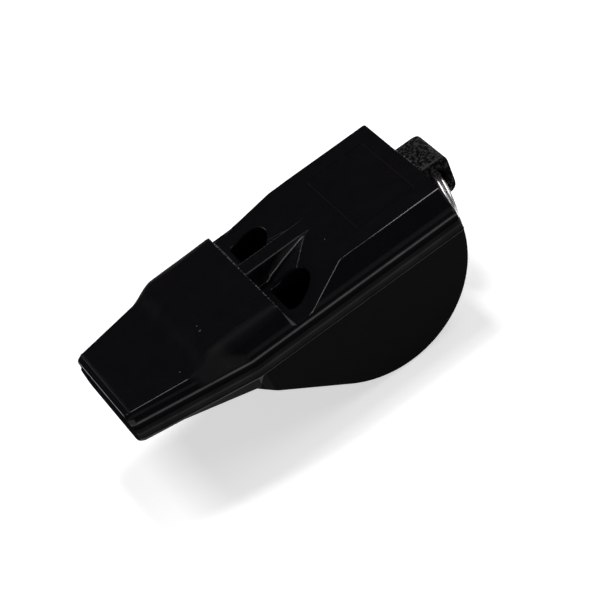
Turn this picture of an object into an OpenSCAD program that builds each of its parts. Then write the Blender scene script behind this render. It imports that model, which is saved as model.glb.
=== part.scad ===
// Pealess sports whistle: two welded mouldings, an inner tray for the air channels and a split ring.
// It is drawn with x = 0 at the lip, y = 0 on the middle and z = 0 on the flat top, and then moved so
// that the origin lies under the middle of its length, level with the lowest line of the drum.

/* [Mouthpiece] */
// Length from the lip to the foot of the rise up to the cover
mouth_len = 8.8; // [7.5:0.1:11]
// Width over the rim at the lip
mouth_rim_w = 17.5; // [17:0.1:19]
// How far the sides run out from the upper edge to the rim at the lip
mouth_side_run = 1.05; // [0.8:0.05:1.2]
// How far the upper edge at the foot of the rise stands in from the deck's edge
foot_edge_step = 0.55; // [0.3:0.05:0.8]
// How far the lip lies below the flat top
lip_drop = 1.6; // [1.5:0.05:1.8]
// How far the foot of the rise lies below the flat top
foot_drop = 1.46; // [1.3:0.05:1.6]
// How far the underside of the mouthpiece lies below the flat top
mouth_bottom_drop = 5.7; // [5.5:0.05:6.4]
// Length of the bevel behind the lip
lip_bevel_len = 1.1; // [0.8:0.1:1.4]
// Fall of that bevel
lip_bevel_drop = 0.2; // [0.1:0.05:0.3]
// Radius of the lip's corners, seen from above
lip_corner_r = 1.0; // [0.6:0.1:1.3]
// How far the upper lip stands back from the lower one
upper_lip_setback = 0.1; // [0.05:0.05:0.2]

/* [Cover] */
// Length of the rise from the mouthpiece to the cover
rise_len = 4.0; // [3:0.1:5]
// Length of the cover's flat top
cover_len = 8.6; // [8:0.1:11]
// Reach of the rounding on the cover's shoulder
cover_shoulder = 1.7; // [1:0.1:1.9]
// Lean of the cover's rear wall from top to foot
cover_wall_lean = 0.5; // [0.2:0.1:0.8]

/* [Notch and windows] */
// Depth of the notch floor below the flat top
notch_drop = 2.45; // [2.3:0.05:2.5]
// Length of the notch floor
notch_floor_len = 1.85; // [1.6:0.05:2.4]
// Length of the slope from the notch floor up to the deck
blade_run = 6.6; // [6:0.1:8]
// Half length of the rounding at the top of that slope
blade_round = 1.0; // [0.5:0.1:1.5]
// Distance from the end of a window to the room under the deck
blade_edge = 0.2; // [0.1:0.05:0.4]
// Width of the spine between the two windows
spine_w = 2.6; // [2:0.1:3]
// Lean of each side of the spine from top to foot
spine_lean = 0.12; // [0.05:0.01:0.2]
// Distance from the spine to the inner side of a window
window_spine_gap = 1.85; // [1.6:0.05:2.1]
// Distance from the outer side of a window to the rim
window_rim_gap = 3.4; // [3.1:0.1:3.8]
// Distance from the foot of the cover's rear wall to the window
window_gap = 0.7; // [0.5:0.1:1]
// Length of a window along the whistle
window_len = 4.5; // [4.2:0.1:4.9]
// Distance from the top of the slope down to the tip of the facet beside the spine
facet_setback = 0.75; // [0.5:0.05:1]
// Length over which the facet widens
facet_len = 3.8; // [3.4:0.1:4.2]
// Width that the facet would reach if the window were closed
facet_w = 3.4; // [3:0.1:3.8]
// How far the facet's foot rises above the slope
facet_rise = 0.3; // [0.1:0.05:0.4]

/* [Deck and rim] */
// Length of the deck's flat top
deck_len = 14.25; // [13:0.25:17]
// Width over the rim
rim_w = 25; // [24:0.1:26]
// How far the slanted sides run out from the deck's edge to the rim
side_run = 2.35; // [2.1:0.05:2.6]
// How far the foot of the slanted sides stands in from the rim
side_foot_inset = 0.36; // [0.3:0.02:0.42]
// Reach of the rounding on the narrow edges
edge_reach = 0.12; // [0.08:0.01:0.16]
// How far the rim's upper edge lies below the flat top
rim_top_drop = 2.6; // [2.55:0.05:2.8]
// How far the seam between the mouldings lies below the flat top
seam_drop = 3.4; // [3.35:0.05:3.6]
// How far the rim's lower edge lies below the flat top
rim_bottom_drop = 5.05; // [4.9:0.05:5.3]
// Forward lean of the deck's rear wall, for each unit of depth
rear_wall_lean = 0.1; // [0.05:0.01:0.15]
// Radius of the rear corners, seen from above
rear_corner_r = 0.4; // [0.3:0.1:1]
// Length of the framed panel on the deck
panel_len = 8.1; // [6:0.1:9]
// Width of the framed panel on the deck
panel_w = 14.2; // [12:0.1:16]
// Distance from the deck's rear edge to the panel
panel_margin = 2.0; // [1.5:0.1:3]
// Width of the panel's engraved frame line
panel_line_w = 0.18; // [0.1:0.01:0.3]
// Depth of that line
panel_line_depth = 0.1; // [0.05:0.01:0.2]

/* [Drum] */
// Outer radius of the drum
drum_r = 13.15; // [12.8:0.05:14]
// How far the drum's axis lies below the flat top
drum_drop = 2.9; // [2.5:0.1:3.2]
// How far the back of the drum stands in front of the deck's rear edge
drum_setback = 0.15; // [0.1:0.05:0.4]
// How far the drum's flat sides stand in from the rim
drum_inset = 0.35; // [0.3:0.05:0.5]
// Slope of the drum's straight front, in degrees
drum_front_angle = 35; // [32:1:40]

/* [Walls] */
// Wall of the drum
drum_wall = 1.6; // [1.2:0.1:1.8]
// Wall of the deck
deck_wall = 1.6; // [1.2:0.1:1.8]
// Thickness of the wall between the two chambers
septum_w = 1.6; // [1.2:0.1:1.8]
// How far the room under the deck stands in from the deck's edge at its roof
room_inset = 0.55; // [0.4:0.05:0.8]

/* [Air channels] */
// Distance from the mouth slot's ends to the rim at the lip
slot_rim_gap = 2.25; // [2.1:0.05:2.8]
// How far the slot's roof lies below the flat top at the lip
slot_roof_drop = 2.35; // [2.3:0.05:2.45]
// How far the channels' floor lies below the flat top
channel_floor_drop = 3.9; // [3.8:0.05:4]
// Height of the channels where they meet the windows
jet_h = 0.9; // [0.7:0.05:1.1]
// Thickness of the tray's floor
tray_floor = 1.0; // [0.8:0.05:1.1]
// Thickness of the tray's side walls
tray_wall = 0.8; // [0.6:0.05:0.9]
// Depth of the groove under the tray that takes the chamber wall
keel_depth = 0.4; // [0.3:0.05:0.5]
// Width of the ledge that carries each side of the tray
ledge_w = 1.3; // [1:0.1:1.5]
// Length of the lower lip in front of the tray
lower_lip_len = 1.2; // [1.1:0.1:1.6]

/* [Welded seam] */
// Radius of the two front locating pins
front_pin_r = 0.7; // [0.5:0.05:0.8]
// Radius of the two rear locating pins
rear_pin_r = 0.5; // [0.4:0.05:0.6]
// Height of the pins
pin_h = 0.7; // [0.5:0.05:0.75]
// Width of the weld tongues
tongue_w = 0.6; // [0.4:0.05:0.7]
// Height of the weld tongues
tongue_h = 0.45; // [0.3:0.05:0.5]
// Clearance round pins, tongues and tray
fit_clearance = 0.08; // [0.05:0.01:0.1]

/* [Lug] */
// How far the lug reaches behind the deck
lug_len = 3.9; // [3.7:0.1:4.5]
// Width of the lug
lug_w = 6.9; // [6.5:0.1:7.2]
// Forward lean of the lug's back from top to bottom
lug_lean = 0.65; // [0.4:0.05:0.8]
// How far the lug's top lies below the flat top
lug_top_drop = 1.15; // [1:0.05:1.2]
// How far the lug's underside lies below the flat top
lug_bottom_drop = 6.1; // [5.9:0.1:6.4]
// Radius of the lug's upper rear edge
lug_top_r = 0.6; // [0.4:0.1:0.8]
// Radius of the lug's lower rear edge
lug_bottom_r = 0.9; // [0.6:0.1:1.2]
// Radius of the hole through the lug
bore_r = 1.1; // [1.05:0.05:1.2]
// How far the hole's axis lies below the flat top
bore_drop = 3.85; // [3.7:0.05:4]
// Distance from the hole's axis to the back of the lug at its top
bore_back = 2.1; // [2:0.05:2.2]
// Depth of the flare at each end of the hole
flare = 0.6; // [0.55:0.05:0.7]
// How much wider the flare leaves the hole on each side
flare_rise = 0.4; // [0.35:0.05:0.5]

/* [Split ring] */
// Outside diameter of the ring
ring_od = 13.4; // [13:0.1:13.8]
// Width of the ring's flat wire, measured across the ring
wire_w = 1.0; // [0.9:0.05:1.1]
// Thickness of one turn of the wire
wire_t = 0.5; // [0.4:0.02:0.55]
// Gap between the two turns
turn_gap = 0.06; // [0.04:0.01:0.1]
// Angle over which the wire crosses from one turn to the other, in degrees
crossing_angle = 44; // [36:1:60]
// Angle from the ring's lowest point to the middle of that crossing, in degrees
crossing_side = 30; // [20:5:60]
// Angle that each end of the wire stops short of the crossing, in degrees
wire_end_angle = 2.5; // [1:0.5:5]
// Forward lean of the hanging ring, in degrees
ring_lean = 16.5; // [14:0.5:18]

/* [Hidden] */
$fn = 96;

// One overrun serves every cut that has to pass a face
overrun = 1.5;

// Places along the whistle, each from the one before
rise_x = mouth_len;
cover_x = rise_x + rise_len;
notch_x = cover_x + cover_len;
floor_x = notch_x + cover_wall_lean;
blade_x = floor_x + notch_floor_len;
deck_x = blade_x + blade_run;
back_x = deck_x + deck_len;
lug_x = back_x + lug_len;
window_x = floor_x + window_gap;
window_end = window_x + window_len;
body_back_x = back_x - rear_wall_lean * seam_drop;
window_straight_share = 0.22;
window_corner_share = 1 / 4;

// Widths, each from the rim's
deck_w = rim_w - 2 * side_run;
foot_top_w = deck_w - 2 * foot_edge_step;
mouth_top_w = mouth_rim_w - 2 * mouth_side_run;
slot_w = mouth_rim_w - 2 * slot_rim_gap;
window_inner = spine_w / 2 + window_spine_gap;
window_outer = rim_w / 2 - window_rim_gap;
drum_w = rim_w - 2 * drum_inset;

// The drum and the lug's hole
drum_x = back_x - drum_setback - drum_r;
whistle_h = drum_drop + drum_r;
bore_x = lug_x - bore_back;
inner_r = drum_r - drum_wall;
chamber_y = drum_w / 2 - drum_wall;

// The ledge between the slanted sides and the rim, as a share of the sides' inset
ledge_share = 1 / 3;
rim_edge = side_foot_inset * ledge_share;
side_foot_drop = rim_top_drop - side_foot_inset;
side_slope = (side_run - side_foot_inset) / side_foot_drop;
blade_slope = notch_drop / blade_run;

// Plan of the tray inside
tray_x = lower_lip_len + fit_clearance;
tray_front_half = slot_w / 2 + tray_wall;
tray_back_half = window_outer + tray_wall;
tray_bottom_drop = channel_floor_drop + tray_floor;
divider_share = 1 / 5;
divider_x = tray_x + mouth_len * divider_share;

// Seam details lie on the side walls between the chambers and the rim
pin_pitch_shares = [4, 6];
pin_front_x = cover_x + front_pin_r + fit_clearance;
pin_front_y = (rim_w / 2 + tray_back_half - tray_wall) / 2;
wall_mid_y = (rim_w / 2 + chamber_y) / 2;
tongue_x = pin_front_x + pin_pitch_shares[0] * front_pin_r;
tongue_share = 1 / 5;
tongue_end = drum_x + drum_r * tongue_share;
pin_rear_x = tongue_end + pin_pitch_shares[1] * rear_pin_r;

ring_mean_r = (ring_od - wire_w) / 2;
// The ring hangs so that its wire clears the hole by the same amount in the middle and at the ends
ring_sag = ring_mean_r - sqrt(pow(ring_mean_r, 2) - pow(lug_w / 2 - flare, 2));
ring_drop = ring_mean_r - ring_sag / 2;

function mix(a, b, t) = a + (b - a) * t;
function ease(t) = t * t * (3 - 2 * t);
function arc_inset(r, t) = t >= r ? 0 : r - sqrt(pow(r, 2) - pow(r - t, 2));

// Fall of the top surface below the flat top, from the lip to the cover
function top_drop(x) =
    x <= rise_x
    ? mix(lip_drop, foot_drop, x / rise_x) + lip_bevel_drop * max(0, 1 - x / lip_bevel_len)
    : x < cover_x ? foot_drop * (1 - ease((x - rise_x) / rise_len)) : 0;

// Half width between the upper edges, and over the rim
function edge_half(x) =
    (x <= rise_x
     ? mix(mouth_top_w, foot_top_w, x / rise_x)
     : x < cover_x ? mix(foot_top_w, deck_w, (x - rise_x) / rise_len) : deck_w) / 2
    - arc_inset(lip_corner_r, x);
function rim_half(x) =
    (x < cover_x ? mix(mouth_rim_w, rim_w, x / cover_x) : rim_w) / 2 - arc_inset(lip_corner_r, x);

// Reach of the shoulder's rounding: small on the mouthpiece, large on the cover
function shoulder(x) =
    x <= rise_x ? edge_reach
    : x < cover_x ? mix(edge_reach, cover_shoulder, ease((x - rise_x) / rise_len))
    : mix(cover_shoulder, cover_shoulder / 2, (x - cover_x) / cover_len);

function bezier(a, b, c, t) = pow(1 - t, 2) * a + 2 * t * (1 - t) * b + pow(t, 2) * c;

// Half of a cross-section, from the seam round to the middle of the top. The middle lies at height
// mid_z and the sides at side_z, so that a station can hold the spine and the notch together. The
// facet beside the spine has its width and rise
function half_section(mid_z, side_z, edge, rim, soft, facet) =
    let (foot = [rim - side_foot_inset, min(-side_foot_drop, side_z)])
    let (corner = [min(edge, foot.x - edge_reach), side_z])
    let (reach = min(soft, norm(foot - corner) / 2))
    let (a = corner + reach * (foot - corner) / norm(foot - corner))
    let (b = corner - [reach, 0])
    concat(
        [[rim, -seam_drop], [rim, -rim_top_drop], [rim - rim_edge, -rim_top_drop + rim_edge]],
        [[foot.x + rim_edge / 2, -rim_top_drop + rim_edge], foot],
        [for (t = [0 : 1 / 4 : 1]) bezier(a, corner, b, t)],
        [[spine_w / 2 + spine_lean + facet[0], side_z]],
        [[spine_w / 2 + spine_lean, side_z + facet[1]], [spine_w / 2, mid_z]]);

// A station is [x, lean, mid_z, side_z, edge, rim, soft]; its section starts in the middle below
function section(s) =
    let (half = half_section(s[2], s[3], s[4], s[5], s[6], facet_at(s[0])))
    [for (p = concat(
            [[0, -seam_drop]], half, [[0, s[2]]],
            [for (i = [len(half) - 1 : -1 : 0]) [-half[i].x, half[i].y]]))
        [s[0] + s[1] * p.y, p.x, p.y]];

// Width and rise of the facet: both grow down the slope, and the rise ends at the slope's foot
function facet_at(x) =
    let (t = min(1, max(0, (deck_x - facet_setback - x) / facet_len)))
    [max(edge_reach, facet_w * t), x < blade_x ? 0 : facet_rise * t];

function front_station(x) =
    [x, 0, -top_drop(x), -top_drop(x), edge_half(x), rim_half(x), shoulder(x)];
function notch_station(x, z) =
    [x, 0, 0, z, deck_w / 2 - z * side_slope, rim_w / 2, edge_reach];
function back_station(angle) =
    let (inset = rear_corner_r * (1 - cos(angle)))
    [back_x - rear_corner_r * (1 - sin(angle)), rear_wall_lean * sin(angle), 0, 0,
     deck_w / 2 - inset, rim_w / 2 - inset, edge_reach];

facet_end_x = deck_x - facet_setback - facet_len;
lip_steps = 4;
rise_steps = 8;
round_steps = 4;
corner_steps = 3;
stations = concat(
    [for (i = [0 : lip_steps]) front_station(mix(upper_lip_setback, lip_bevel_len, i / lip_steps))],
    [for (i = [0 : rise_steps]) front_station(mix(rise_x, cover_x, i / rise_steps))],
    [front_station((cover_x + notch_x) / 2), front_station(notch_x)],
    [for (x = [floor_x, blade_x - window_gap / 2, blade_x]) notch_station(x, -notch_drop)],
    [notch_station(facet_end_x, -blade_slope * (deck_x - facet_end_x))],
    [for (i = [0 : round_steps])
        let (x = mix(deck_x - blade_round, deck_x + blade_round, i / round_steps))
        notch_station(x, -blade_slope * pow(deck_x + blade_round - x, 2) / (4 * blade_round))],
    [for (i = [0 : corner_steps]) back_station(90 * i / corner_steps)]);

// A closed skin over rings that all have the same number of points, each ring running anticlockwise
// when it is looked at against the direction in which the rings follow one another. Each end is
// closed by a fan from the ring's first point, from which all the others are in view
module skin(rings) {
    count = len(rings[0]);
    last = (len(rings) - 1) * count;
    polyhedron(
        points = [for (ring = rings) each ring],
        faces = concat(
            [for (j = [1 : count - 2]) [0, j, j + 1]],
            [for (j = [1 : count - 2]) [last, last + j + 1, last + j]],
            [for (i = [0 : len(rings) - 2], j = [0 : count - 1])
                let (k = (j + 1) % count)
                let (p = i * count)
                each [[p + j, p + count + k, p + k], [p + j, p + count + j, p + count + k]]]));
}

// Moves a piece from the drawing's frame to the whistle's own frame
module in_frame() {
    translate([-lug_x / 2, 0, whistle_h]) children();
}

// Extrudes a side view, drawn as [x, z], between two distances from the middle
module side_extrude(y_from, y_to) {
    translate([0, y_to, 0]) rotate([90, 0, 0]) linear_extrude(y_to - y_from) children();
}

// Extrudes a plan between two depths below the flat top
module plan_extrude(drop_top, drop_bottom) {
    translate([0, 0, -drop_bottom]) linear_extrude(drop_bottom - drop_top) children();
}

// Plan of the rim from the lower lip to the rear, drawn in by an inset
module rim_plan(inset, end_x) {
    steps = 6;
    front = [for (i = [0 : steps])
        let (x = inset + lip_corner_r * (1 - cos(90 * i / steps)))
        [x, rim_half(x - inset) - inset]];
    rear = [for (i = [0 : corner_steps])
        let (angle = 90 * i / corner_steps)
        [end_x - rear_corner_r * (1 - sin(angle)), rim_half(end_x) - inset - rear_corner_r * (1 - cos(angle))]];
    edge = concat(front, end_x > cover_x ? [[cover_x, rim_w / 2 - inset]] : [], rear);
    polygon(concat(edge, [for (i = [len(edge) - 1 : -1 : 0]) [edge[i].x, -edge[i].y]]));
}

// Plan of the tray, grown by a clearance
module tray_plan(grow) {
    polygon([
        [tray_x - grow, -tray_front_half - grow], [window_x, -tray_back_half - grow],
        [window_x, tray_back_half + grow], [tray_x - grow, tray_front_half + grow]]);
}

// Side view of the space under the channels' roof, lowered by a gap
module under_roof(gap) {
    exit_drop = channel_floor_drop - jet_h;
    slope = (exit_drop - slot_roof_drop) / window_x;
    polygon([
        [-overrun, -slot_roof_drop + slope * overrun - gap], [window_x, -exit_drop - gap],
        [window_x, -mouth_bottom_drop], [-overrun, -mouth_bottom_drop]]);
}

// Plan of one window: straight front, eased corners, half an ellipse at the rear
module window_plan() {
    steps = 12;
    mid = (window_inner + window_outer) / 2;
    half = (window_outer - window_inner) / 2;
    straight = window_len * window_straight_share;
    corner = half * window_corner_share;
    polygon(concat(
        [[window_x, window_inner + corner / 2], [window_x, window_outer - corner]],
        [[window_x + corner / 2, window_outer - corner / 4]],
        [for (i = [0 : steps])
            let (angle = 180 * i / steps)
            [window_x + straight + (window_len - straight) * sin(angle), mid + half * cos(angle)]]));
}

// The lug's side view, with rounded rear edges. Above the seam its front follows the upper
// moulding's rear wall at a clearance, and below the seam it runs into the body
module lug_side() {
    steps = 5;
    front_x = back_x + fit_clearance;
    top_c = [lug_x - lug_top_r, -lug_top_drop - lug_top_r];
    low_c = [lug_x - lug_lean - lug_bottom_r, -lug_bottom_drop + lug_bottom_r];
    polygon(concat(
        [[body_back_x - drum_wall, -seam_drop], [front_x - rear_wall_lean * seam_drop, -seam_drop]],
        [[front_x - rear_wall_lean * lug_top_drop, -lug_top_drop]],
        [for (i = [0 : steps]) top_c + lug_top_r * [sin(90 * i / steps), cos(90 * i / steps)]],
        [for (i = [0 : steps]) low_c + lug_bottom_r * [cos(90 * i / steps), -sin(90 * i / steps)]],
        [[body_back_x - drum_wall, -lug_bottom_drop]]));
}

// The hole through the lug, flared at both ends
module lug_bore() {
    translate([bore_x, 0, -bore_drop]) rotate([90, 0, 0]) {
        cylinder(h = lug_w + 2 * overrun, r = bore_r, center = true);
        for (side = [0, 1]) mirror([0, 0, side])
            translate([0, 0, lug_w / 2 - flare])
                cylinder(h = 2 * flare, r1 = bore_r, r2 = bore_r + 2 * flare_rise);
    }
}

// The four locating pins, or their holes when grown by a clearance
module pins(grow) {
    for (side = [-1, 1]) {
        translate([pin_front_x, side * pin_front_y, -seam_drop - overrun])
            cylinder(h = overrun + pin_h + grow, r = front_pin_r + grow);
        translate([pin_rear_x, side * wall_mid_y, -seam_drop - overrun])
            cylinder(h = overrun + pin_h + grow, r = rear_pin_r + grow);
    }
}

// The two weld tongues, or their grooves when grown by a clearance
module tongues(grow) {
    for (side = [-1, 1])
        translate([tongue_x - grow, side * wall_mid_y - tongue_w / 2 - grow, -seam_drop - overrun])
            cube([tongue_end - tongue_x + 2 * grow, tongue_w + 2 * grow, overrun + tongue_h + grow]);
}

// The room under the deck, one side of the middle rib
module deck_room() {
    front_x = window_end + blade_edge;
    intersection() {
        side_extrude(septum_w / 2, rim_w / 2) polygon([
            [front_x, -seam_drop - overrun], [front_x, -seam_drop],
            [deck_x + blade_round, -deck_wall],
            [drum_x + inner_r, -deck_wall], [drum_x + inner_r, -seam_drop - overrun]]);
        rotate([90, 0, 90]) linear_extrude(back_x) polygon([
            [0, -seam_drop - overrun], [chamber_y, -seam_drop - overrun], [chamber_y, -seam_drop],
            [deck_w / 2 - room_inset, -deck_wall], [0, -deck_wall]]);
    }
}

// The frame line engraved round the deck's bare panel
module panel_line() {
    translate([back_x - panel_margin - panel_len, -panel_w / 2, -panel_line_depth]) difference() {
        cube([panel_len, panel_w, overrun]);
        translate([panel_line_w, panel_line_w, -overrun])
            cube([panel_len - 2 * panel_line_w, panel_w - 2 * panel_line_w, 3 * overrun]);
    }
}

module upper_shell() {
    color([0.09, 0.085, 0.1]) in_frame() difference() {
        skin([for (s = stations) section(s)]);
        // Channels' roof, mouth slot and the recess for the tray
        intersection() {
            side_extrude(-rim_w / 2, rim_w / 2) under_roof(0);
            plan_extrude(0, mouth_bottom_drop) tray_plan(fit_clearance);
        }
        intersection() {
            side_extrude(-slot_w / 2, slot_w / 2) under_roof(0);
            plan_extrude(0, mouth_bottom_drop) translate([-overrun, -rim_w / 2])
                square([overrun + tray_x, rim_w]);
        }
        for (side = [0, 1]) mirror([0, side, 0]) {
            plan_extrude(-overrun, seam_drop + overrun) window_plan();
            deck_room();
        }
        pins(fit_clearance);
        tongues(fit_clearance);
        panel_line();
    }
}

// The lug, from the inside of the body's rear wall
module lug() {
    difference() {
        side_extrude(-lug_w / 2, lug_w / 2) lug_side();
        side_extrude(-drum_w / 2, drum_w / 2) drum_side(inner_r + drum_wall / 2, mouth_bottom_drop);
        lug_bore();
    }
}

// Side view of a drum of radius r with its straight front, up to a height
module drum_side(r, front_drop) {
    tangent = [drum_x - r * sin(drum_front_angle), -drum_drop - r * cos(drum_front_angle)];
    reach = (-front_drop - tangent.y) / sin(drum_front_angle);
    corner = tangent + reach * [-cos(drum_front_angle), sin(drum_front_angle)];
    translate([drum_x, -drum_drop]) circle(r);
    polygon([corner, tangent, [drum_x, -drum_drop], [corner.x, -drum_drop]]);
}

// One chamber in the drum, with the room in front of it under the tray
module chamber() {
    side_extrude(septum_w / 2, chamber_y) intersection() {
        translate([drum_x, -drum_drop]) circle(inner_r);
        translate([window_x - fit_clearance, -whistle_h]) square([2 * drum_r, whistle_h]);
    }
    side_extrude(septum_w / 2, tray_front_half - ledge_w + tray_wall) intersection() {
        drum_side(inner_r, tray_bottom_drop);
        translate([0, -whistle_h]) square([window_x, whistle_h - tray_bottom_drop]);
    }
}

module lower_body() {
    belly_share = 2 / 3;
    chamfer = mouth_bottom_drop - tray_bottom_drop;
    belly_end = cover_x + chamfer;
    color([0.16, 0.16, 0.15]) in_frame() difference() {
        union() {
            plan_extrude(rim_top_drop, rim_bottom_drop) rim_plan(0, body_back_x);
            hull() {
                plan_extrude(rim_top_drop, tray_bottom_drop) rim_plan(0, belly_end);
                plan_extrude(rim_top_drop, mouth_bottom_drop) rim_plan(chamfer * belly_share, belly_end);
            }
            side_extrude(-drum_w / 2, drum_w / 2) drum_side(drum_r, mouth_bottom_drop);
        }
        // Everything above the seam, but for the lug, belongs to the upper moulding
        translate([-overrun, -rim_w, -seam_drop]) cube([lug_x + 2 * overrun, 2 * rim_w, 2 * drum_r]);
        for (side = [0, 1]) mirror([0, side, 0]) chamber();
        plan_extrude(seam_drop - overrun, tray_bottom_drop) tray_plan(fit_clearance);
        translate([-overrun, -slot_w / 2, -channel_floor_drop])
            cube([2 * overrun + lower_lip_len, slot_w, overrun]);
    }
    color([0.16, 0.16, 0.15]) in_frame() {
        lug();
        pins(0);
        tongues(0);
        keel();
    }
}

// The chamber wall's upper edge, which stands in the groove under the tray
module keel() {
    rib_w = septum_w / 2;
    translate([cover_x + septum_w, -rib_w / 2, -tray_bottom_drop - overrun])
        cube([window_x - cover_x - 2 * septum_w, rib_w, overrun + keel_depth - fit_clearance]);
}

module windway_insert() {
    color([0.3, 0.3, 0.32]) in_frame() difference() {
        intersection() {
            plan_extrude(slot_roof_drop, tray_bottom_drop) tray_plan(0);
            side_extrude(-rim_w / 2, rim_w / 2) under_roof(fit_clearance);
        }
        // The two channels, each between a side wall and the widening divider
        for (side = [-1, 1])
            plan_extrude(0, channel_floor_drop) polygon([
                [0, 0], [divider_x, 0], [divider_x + septum_w / 2, side * septum_w / 2],
                [window_x, side * window_inner], [window_x + overrun, side * window_inner],
                [window_x + overrun, side * window_outer], [window_x, side * window_outer],
                [tray_x, side * slot_w / 2], [0, side * slot_w / 2]]);
        translate([cover_x + septum_w - fit_clearance, -septum_w / 4 - fit_clearance,
                   -tray_bottom_drop - overrun])
            cube([window_x - cover_x - 2 * septum_w + 2 * fit_clearance,
                  septum_w / 2 + 2 * fit_clearance, overrun + keel_depth]);
    }
}

// Cross-section of the ring's wire with eased edges, as [across the ring, along its axis]
wire_edge_share = 1 / 4;
wire_edge = wire_t * wire_edge_share;
wire_section = [
    [wire_w / 2, -wire_t / 2 + wire_edge], [wire_w / 2, wire_t / 2 - wire_edge],
    [wire_w / 2 - wire_edge, wire_t / 2], [-wire_w / 2 + wire_edge, wire_t / 2],
    [-wire_w / 2, wire_t / 2 - wire_edge], [-wire_w / 2, -wire_t / 2 + wire_edge],
    [-wire_w / 2 + wire_edge, -wire_t / 2], [wire_w / 2 - wire_edge, -wire_t / 2]];

// Where the wire lies along the ring's axis after turning by an angle, counted from the crossing
function turn_offset(angle) =
    (wire_t + turn_gap) * (ease(min(1, max(0, (angle + crossing_angle / 2) / crossing_angle))) - 0.5);

// The wire runs once round in the first turn, crosses over and runs once round in the second
module ring_wire() {
    half_run = 360 - crossing_angle / 2 - wire_end_angle;
    steps = 120;
    skin([for (i = [0 : steps])
        let (angle = mix(half_run, -half_run, i / steps))
        [for (p = wire_section)
            [(ring_mean_r + p.x) * cos(angle), (ring_mean_r + p.x) * sin(angle), p.y + turn_offset(angle)]]]);
}

// The ring hangs from the hole, leans forward and has its crossing near its lowest point
module split_ring() {
    color([0.75, 0.75, 0.78]) in_frame()
        translate([bore_x, 0, -bore_drop]) rotate([0, ring_lean, 0])
        translate([0, 0, -ring_drop]) rotate([0, 90, 0]) rotate([0, 0, crossing_side]) ring_wire();
}

upper_shell();
lower_body();
windway_insert();
split_ring();
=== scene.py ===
"""Looks of the sports whistle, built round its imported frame.

Sizes are in millimetres, with x = 0 at the lip, y = 0 on the middle and z = 0 on the flat top.
place() moves them into the frame, which lies under the middle of the whistle, in metres.
"""

import math

import bmesh
import bpy
import numpy as np
from mathutils import Matrix, Vector


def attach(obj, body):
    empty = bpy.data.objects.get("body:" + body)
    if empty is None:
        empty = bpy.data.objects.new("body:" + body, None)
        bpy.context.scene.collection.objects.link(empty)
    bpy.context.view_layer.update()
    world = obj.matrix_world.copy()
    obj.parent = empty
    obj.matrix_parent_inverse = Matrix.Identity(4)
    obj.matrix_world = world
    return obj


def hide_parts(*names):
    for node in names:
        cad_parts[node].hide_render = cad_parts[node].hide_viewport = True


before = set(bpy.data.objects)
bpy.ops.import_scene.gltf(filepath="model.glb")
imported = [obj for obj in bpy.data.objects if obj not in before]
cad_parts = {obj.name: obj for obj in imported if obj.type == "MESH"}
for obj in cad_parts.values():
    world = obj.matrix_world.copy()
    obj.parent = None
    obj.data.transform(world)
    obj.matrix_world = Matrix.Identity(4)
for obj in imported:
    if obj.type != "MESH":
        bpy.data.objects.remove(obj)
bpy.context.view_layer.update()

# Metres in a millimetre
MM = 0.001

# Places along the whistle
RISE_X = 8.8  # foot of the rise
COVER_X = 12.8  # top of the rise
KINK_X = 15.4  # where the rim stops widening
NOTCH_X = 21.4  # top of the cover's rear wall
FLOOR_X = 21.9  # front of the notch floor
WINDOW_X = 22.6  # front edge of the windows
BLADE_X = 23.75  # foot of the slope
DECK_X = 30.35  # top of the slope
PANEL_X = (34.5, 42.6)  # the bare panel on the deck
BACK_X = 44.6  # rear wall
LUG_TOP_X = 45.05  # front edge of the lug's top
LUG_X = 48.5  # end of the lug
WINDOW_LEN = 4.5
# Heights, counted down from the flat top
MOUTH_Z = -1.6
RISE_Z = -1.46
LUG_TOP_Z = -1.15
SIDE_FOOT_Z = -2.2
NOTCH_Z = -2.45
RIM_TOP_Z = -2.6
SEAM_Z = -3.4
STEP_Z = -4.17
RIM_BOTTOM_Z = -5.15
MOUTH_BOTTOM_Z = -5.65
# From the flat top down to the bottom of the drum
HEIGHT = 16.05
# Half widths
RIM_Y = 12.5
RIM_LIP_Y = 8.75
DECK_Y = 10.15
EDGE_RISE_Y = 9.6
EDGE_LIP_Y = 7.7
DRUM_Y = 12.15
SPINE_Y = 1.3
PANEL_Y = 7.1
LUG_Y = 3.45
WINDOW_IN_Y = 3.15
WINDOW_OUT_Y = 9.1
# The foot of the sloping sides stands in from the rim by this much
FOOT_INSET = 0.42
SIDE_SLOPE = (RIM_Y - FOOT_INSET - DECK_Y) / -SIDE_FOOT_Z
# Radius of the lip's corners in plan, and of the rear corners
LIP_CORNER_R = 1.0
BACK_R = 0.4
# Reach of the bend where the top meets the sides
MOUTH_SOFT = 0.19
COVER_SOFT = 1.7
COVER_REAR_SOFT = 0.85
NOTCH_SOFT = 0.24
DECK_SOFT = (0.12, 0.26)
# Rooms inside
RECESS_X = 1.2
RECESS_FRONT_Y = 7.38
RECESS_BACK_Y = 10.28
SLOT_Y = 6.5
CHAMBER_R = 11.55
CHAMBER_Y = 10.55
HALF_WALL = 0.8
# Drum and the hole through the lug
DRUM_C = (31.3, -2.9)
DRUM_R = 13.15
DRUM_FRONT_ANGLE = math.radians(35)
BORE = (46.4, -3.85)
BORE_R = 1.1

ORIGIN = np.array((-LUG_X / 2, 0.0, HEIGHT))


def place(points):
    """Millimetres of the drawing to metres of the frame."""
    return (np.asarray(points, float) + ORIGIN) * MM


def drawn(point):
    """Metres of the frame to millimetres of the drawing."""
    return np.array(point) * 1000 - ORIGIN


def mix(a, b, t):
    return a + (b - a) * t


def ease(t):
    t = min(1.0, max(0.0, t))
    return t * t * (3 - 2 * t)


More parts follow.
